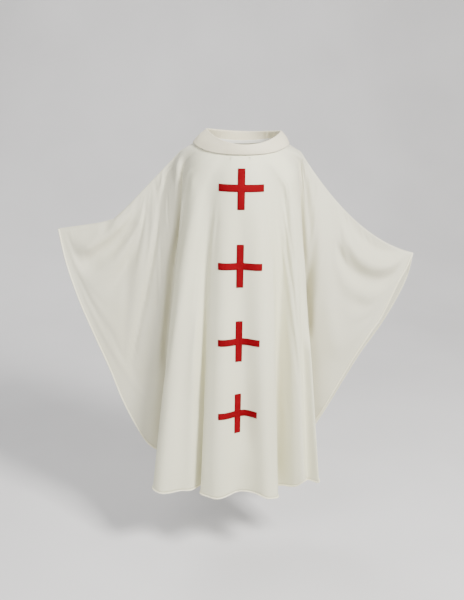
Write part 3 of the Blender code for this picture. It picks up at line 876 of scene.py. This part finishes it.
def neck_tape(material):
    """The tape over the neck seam inside the collar, a flat ring with softly rounded edges."""
    profile = [
        (0.0, 0.1), (0.0, 0.9), (0.3, 1.0), (0.7, 1.0),
        (1.0, 0.9), (1.0, 0.1), (0.7, 0.0), (0.3, 0.0),
    ]
    points, faces = [], []
    for i in range(COLLAR_COLUMNS):
        turn = 2 * math.pi * i / COLLAR_COLUMNS
        for share, rise in profile:
            inset = TAPE_INSET + TAPE_THICKNESS * share
            points.append(neck_ring(turn, inset, TAPE_FOOT + TAPE_HEIGHT * rise))
    count = len(profile)
    for i in range(COLLAR_COLUMNS):
        a, b = count * i, (i + 1) % COLLAR_COLUMNS * count
        for k in range(count):
            n = (k + 1) % count
            faces.append((a + k, a + n, b + n, b + k))
    obj = add_mesh("neck_tape", points, faces, material)
    face_outwards(obj)
    return obj


# ------------------------------------------------------------------------------ crosses


SURFACE_SAMPLES = 41
SURFACE_MARGIN = 0.008  # how far past a cross its patch of the front panel is measured
CROSS_ARM_CELLS = 16
HALF_BAR_CELLS = 3
CROSS_FOOT = -0.0001  # heights above the front panel's face: a cross's underside
CROSS_RISE = 0.0005  # and where its rounded top starts
CROSS_PLUMP = 0.0010
CROSS_EDGE_SHARE = 0.2  # how much of the plumpness is left at its edge
SATIN_WIDTH, SATIN_HEIGHT, SATIN_THREAD = 0.0026, 0.0012, 0.0011
SATIN_FOOT = 0.0007
SATIN_DIP = 0.86  # every second thread's height, as a share of the next one's
TINY = 1e-6


def cloth_tree(*panels):
    """A search tree over the faces of these panels."""
    points, faces = [], []
    for obj in panels:
        first = len(points)
        points += [tuple(v.co) for v in obj.data.vertices]
        faces += [tuple(first + i for i in p.vertices) for p in obj.data.polygons]
    return BVHTree.FromPolygons(points, faces)


class FrontSurface:
    """Places on the front panel by their distance along the cloth from a cross's middle."""

    def __init__(self, tree, middle_x, middle_z, reach):
        self.tree = tree
        spread = np.linspace(-reach, reach, SURFACE_SAMPLES)
        self.heights = middle_z + spread
        self.xs = middle_x + spread
        self.across = {}
        down = [self.hit(middle_x, z)[0] for z in self.heights]
        self.down = self.lengths(down, SURFACE_SAMPLES // 2)

    def hit(self, x, z):
        place, normal, _, _ = self.tree.ray_cast(Vector((x, -1.0, z)), Vector((0, 1, 0)))
        return place, (normal if normal.y < 0 else -normal)

    @staticmethod
    def lengths(places, middle):
        steps = [0.0] + [(b - a).length for a, b in zip(places, places[1:])]
        along = np.cumsum(steps)
        return along - along[middle]

    def place(self, a, b, lift):
        """The point a along the cloth to the right and b up it, lifted off the cloth."""
        z = float(np.interp(b, self.down, self.heights))
        key = round(z, 4)
        if key not in self.across:
            places = [self.hit(x, z)[0] for x in self.xs]
            self.across[key] = self.lengths(places, len(self.xs) // 2)
        x = float(np.interp(a, self.across[key], self.xs))
        place, normal = self.hit(x, z)
        return place + normal * lift


def cross_cells(below, above, half):
    """Where the grid lines of a cross lie, from -below through its bar's two edges to above."""
    core = [half * k / HALF_BAR_CELLS for k in range(-HALF_BAR_CELLS, HALF_BAR_CELLS + 1)]
    parts = range(1, CROSS_ARM_CELLS + 1)
    low = [-half - (below - half) * i / CROSS_ARM_CELLS for i in reversed(parts)]
    return low + core + [half + (above - half) * i / CROSS_ARM_CELLS for i in parts]


def cross_cloth(name, surface, size, bar, material):
    """A cross of cloth with a soft rounded edge that follows the front panel."""
    half_width, below, above = size
    across = cross_cells(half_width, half_width, bar / 2)
    upward = cross_cells(below, above, bar / 2)
    half = bar / 2 + TINY
    index, points, faces = {}, [], []

    def edge_distance(a, b):
        inside_upright = min(bar / 2 - abs(a), above - b, b + below)
        inside_beam = min(half_width - abs(a), bar / 2 - abs(b))
        return max(inside_upright, inside_beam)

    def corner(i, j, layer):
        key = (i, j, layer)
        if key not in index:
            a, b = across[i], upward[j]
            plump = 1 if edge_distance(a, b) > 10 * TINY else CROSS_EDGE_SHARE
            index[key] = len(points)
            top = CROSS_RISE + CROSS_PLUMP * plump
            points.append(surface.place(a, b, top if layer else CROSS_FOOT))
        return index[key]

    inside = {
        (i, j)
        for i in range(len(across) - 1)
        for j in range(len(upward) - 1)
        if abs(across[i] + across[i + 1]) / 2 < half or abs(upward[j] + upward[j + 1]) / 2 < half
    }
    for i, j in sorted(inside):
        ring = [(i, j), (i + 1, j), (i + 1, j + 1), (i, j + 1)]
        faces.append(tuple(corner(a, b, 1) for a, b in ring))
        faces.append(tuple(corner(a, b, 0) for a, b in reversed(ring)))
        for k, (di, dj) in enumerate(((0, -1), (1, 0), (0, 1), (-1, 0))):
            if (i + di, j + dj) not in inside:
                (a, b), (c, d) = ring[k], ring[(k + 1) % 4]
                faces.append((corner(a, b, 0), corner(c, d, 0), corner(c, d, 1), corner(a, b, 1)))
    obj = add_mesh(name, points, faces, material)
    face_outwards(obj)
    return obj


def cross_stitching(name, surface, size, bar, material):
    """Satin stitching round a cross: a raised band of threads that lie across its edge."""
    (a, below, above), b = size, bar / 2  # a and b: half the cross's width and half its bar's
    corners = [
        (-b, -below), (b, -below), (b, -b), (a, -b), (a, b), (b, b),
        (b, above), (-b, above), (-b, b), (-a, b), (-a, -b), (-b, -b),
    ]
    path = []
    for (x0, z0), (x1, z1) in zip(corners, corners[1:] + corners[:1]):
        count = max(4, round(math.dist((x0, z0), (x1, z1)) / SATIN_THREAD))
        for k in range(count):
            t = k / count
            path.append((x0 + (x1 - x0) * t, z0 + (z1 - z0) * t))
    path = np.array(path)
    ahead, behind = np.roll(path, -1, 0), np.roll(path, 1, 0)
    tangent = ahead - behind
    tangent /= np.linalg.norm(tangent, axis=1)[:, None]
    outward = np.column_stack([tangent[:, 1], -tangent[:, 0]])
    section = [
        (-0.5, 0.0), (-0.42, 0.55), (-0.2, 0.9), (0.0, 1.0),
        (0.2, 0.9), (0.42, 0.55), (0.5, 0.0), (0.0, -0.3),
    ]
    points, faces = [], []
    for i, (place, out) in enumerate(zip(path, outward)):
        swell = 1.0 if i % 2 else SATIN_DIP
        for across, rise in section:
            spot = place + out * across * SATIN_WIDTH
            lift = SATIN_FOOT + rise * SATIN_HEIGHT * swell
            points.append(surface.place(spot[0], spot[1], lift))
    count = len(section)
    for i in range(len(path)):
        p, q = i * count, (i + 1) % len(path) * count
        for k in range(count):
            n = (k + 1) % count
            faces.append((p + k, p + n, q + n, q + k))
    obj = add_mesh(name, points, faces, material)
    face_outwards(obj)
    return obj


# ------------------------------------------------------------------------------ sewing inside


BINDING_SPACING = 0.004
BINDING_START, BINDING_END = 4, 6  # steps left out at the neck and at the wrist
BINDING_TOP, BINDING_DROP = 0.0012, 0.011  # below the seam
BINDING_HALF = 0.00025
BINDING_SWAY = 0.0006
BINDING_WAVES = 90  # radians of the sway for each metre


def seam_binding(name, line, material):
    """The bound seam allowances, a soft fin that hangs inside under a shoulder seam."""
    path, along = resampled(line, BINDING_SPACING)
    path = path[BINDING_START:-BINDING_END]
    half = BINDING_HALF
    points, faces = [], []
    for i, place in enumerate(path):
        sway = BINDING_SWAY * math.sin(along[i] * BINDING_WAVES)
        for y, fall in (
            (-half, BINDING_TOP), (half, BINDING_TOP),
            (half + sway, BINDING_DROP), (-half + sway, BINDING_DROP),
        ):
            points.append((place[0], y, place[2] - fall))
    for i in range(len(path) - 1):
        a, b = 4 * i, 4 * i + 4
        for k in range(4):
            n = (k + 1) % 4
            faces.append((a + k, a + n, b + n, b + k))
    last = 4 * len(path) - 4
    faces += [(3, 2, 1, 0), (last, last + 1, last + 2, last + 3)]
    obj = add_mesh(name, points, faces, material)
    face_outwards(obj)
    return obj


def thread_bar(name, node, material):
    """A short bar of twisted thread where the CAD tack lies."""
    low, high = (Vector(corner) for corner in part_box(node))
    start = Vector(((low.x + high.x) / 2, high.y, high.z))
    end = Vector(((low.x + high.x) / 2, low.y, low.z))
    path = [tuple(start.lerp(end, t)) for t in (0, 0.35, 0.7, 1)]
    return rope(name, path, material, **TACK_THREAD)


# ------------------------------------------------------------------------------ the whole garment


def keep(piece, node):
    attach(piece, "root")
    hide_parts(node)
    return piece


make_camera()
make_stage()
finish = make_materials()

front, front_size = panel(
    "front_cloth", FRONT_FOLDS, CHEST_CONTOUR, FRONT_NECK_DEPTH, -1,
    LEFT_WING_CREASES + RIGHT_WING_CREASES + BODY_CREASES, finish["ivory"],
)
back, back_size = panel(
    "back_cloth", BACK_FOLDS, BACK_CONTOUR, BACK_NECK_DEPTH, 1,
    [(BACK_CREASE_SHARE * depth, reach, line)
     for depth, reach, line in LEFT_WING_CREASES + RIGHT_WING_CREASES],
    finish["ivory"],
)
hems, seams = {}, {}
for piece, size in ((front, front_size), (back, back_size)):
    hang(piece, size)
    smooth_cloth(piece, size, SMOOTHING_ROUNDS, SMOOTHING_SHARE)
    grid = coordinates(piece).reshape(*size, 3)
    hems[piece.name] = grid[:, -1]
    seams[piece.name] = (grid[0, ROWS_YOKE // 2 :], grid[-1, ROWS_YOKE // 2 :])
    thicken(piece, CLOTH)
keep(front, "front_panel")
keep(back, "back_panel")

front_cord = rope("front_hem", hems["front_cloth"], finish["cord"], **HEM_CORD)
back_cord = rope("back_hem", hems["back_cloth"], finish["cord"], **HEM_CORD)
keep(front_cord, "front_hem_cord")
keep(back_cord, "back_hem_cord")

draped = cloth_tree(front, back)
shell, stiffening, lining = (
    keep(collar_ply(name, ply, draped, finish[look]), node)
    for ply, (name, node, look, slot) in enumerate(
        [
            ("collar_outside", "collar_shell", "collar", "ivory_cloth"),
            ("collar_stiffening", "collar_interlining", "tape", "white_tape"),
            ("collar_inside", "collar_lining", "collar", "ivory_cloth"),
        ]
    )
)
keep(neck_tape(finish["tape"]), "neck_seam_tape")
for side, seam in zip(("left", "right"), seams["front_cloth"]):
    binding = seam_binding(f"{side}_seam_binding", seam, finish["tape"])
    keep(binding, f"{side}_shoulder_seam_binding")
    node = f"collar_tack_{side}"
    keep(thread_bar(f"{side}_collar_thread", node, finish["tape"]), node)

front_tree = cloth_tree(front)
for number, (height, below, above) in enumerate(CROSSES, 1):
    surface = FrontSurface(front_tree, CROSS_X, height, CROSS_HALF_WIDTH + SURFACE_MARGIN)
    size = (CROSS_HALF_WIDTH, below, above)
    cloth = cross_cloth(f"red_cross_{number}", surface, size, CROSS_BAR, finish["red"])
    keep(cloth, f"cross_{number}")
    border = cross_stitching(
        f"cross_{number}_satin_stitch", surface, size, CROSS_BAR, finish["satin"]
    )
    keep(border, f"cross_{number}_stitching")
